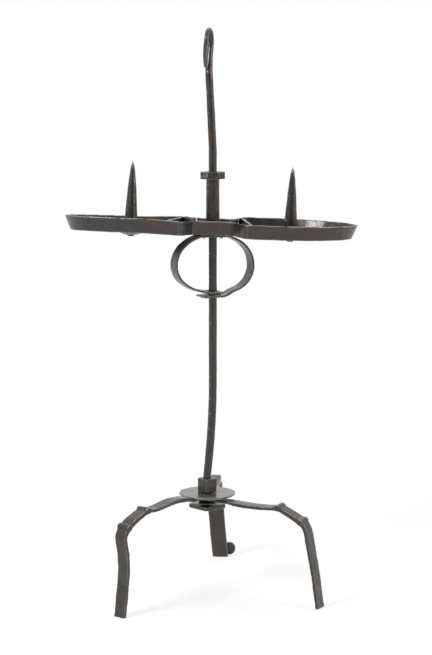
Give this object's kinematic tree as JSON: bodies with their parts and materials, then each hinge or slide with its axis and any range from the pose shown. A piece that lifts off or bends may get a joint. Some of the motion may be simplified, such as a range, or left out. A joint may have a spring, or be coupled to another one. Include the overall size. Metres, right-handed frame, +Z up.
{
  "type": "candlestick",
  "caption": "Forged iron candlestick: a tray with two candle spikes slides and turns on an upright bar over three bent strap legs, held by a sprung bow.",
  "frame": {"origin": "on the floor under the straight middle of the upright bar", "axes": "+Z up along the bar, +X towards the tray's right pan, +Y towards the back leg"},
  "size_m": [0.2768, 0.2322, 0.539],
  "materials": {
    "iron": "matte",
    "worn_iron": "matte",
    "rusty_iron": "matte"
  },
  "bodies": {
    "stand": {"bar": "iron", "bar_block": "iron", "base_disc": "worn_iron", "hub_plate": "iron", "left_leg": "rusty_iron", "right_leg": "rusty_iron", "back_leg": "rusty_iron", "back_foot_button": "iron"},
    "slider": {"sleeve": "iron", "collar": "iron"},
    "carriage": {"tray": "rusty_iron", "left_pan_strip": "worn_iron", "right_pan_strip": "worn_iron", "left_pricket": "iron", "right_pricket": "iron", "left_washer": "iron", "right_washer": "iron", "grip_crown": "iron", "grip_rivets": "worn_iron"},
    "right_arm": {"grip_right_arm": "iron"},
    "left_arm": {"grip_left_arm": "iron"}
  },
  "joints": [
    {"name": "height_slide", "type": "slide", "parent": "stand", "child": "slider", "axis": [0, 0, 1], "range_m": [-0.118, 0.026]},
    {"name": "tray_swivel", "type": "hinge", "parent": "slider", "child": "carriage", "pos_m": [0, 0, 0.3456], "axis": [0, 0, 1], "continuous": true},
    {"name": "right_squeeze", "type": "hinge", "parent": "carriage", "child": "right_arm", "pos_m": [0.01087, 0.00533, 0.34397], "axis": [-0.4381, 0.8988, 0.0153], "range_deg": [0, 2.3], "stiffness_Nm_per_rad": 1},
    {"name": "left_squeeze", "type": "hinge", "parent": "carriage", "child": "left_arm", "pos_m": [-0.01096, -0.00533, 0.34473], "axis": [-0.4381, 0.8988, 0.0153], "range_deg": [-2.3, 0], "stiffness_Nm_per_rad": 1}
  ],
  "couplings": [
    {"joint": "left_squeeze", "follows": "right_squeeze", "ratio": -1}
  ]
}
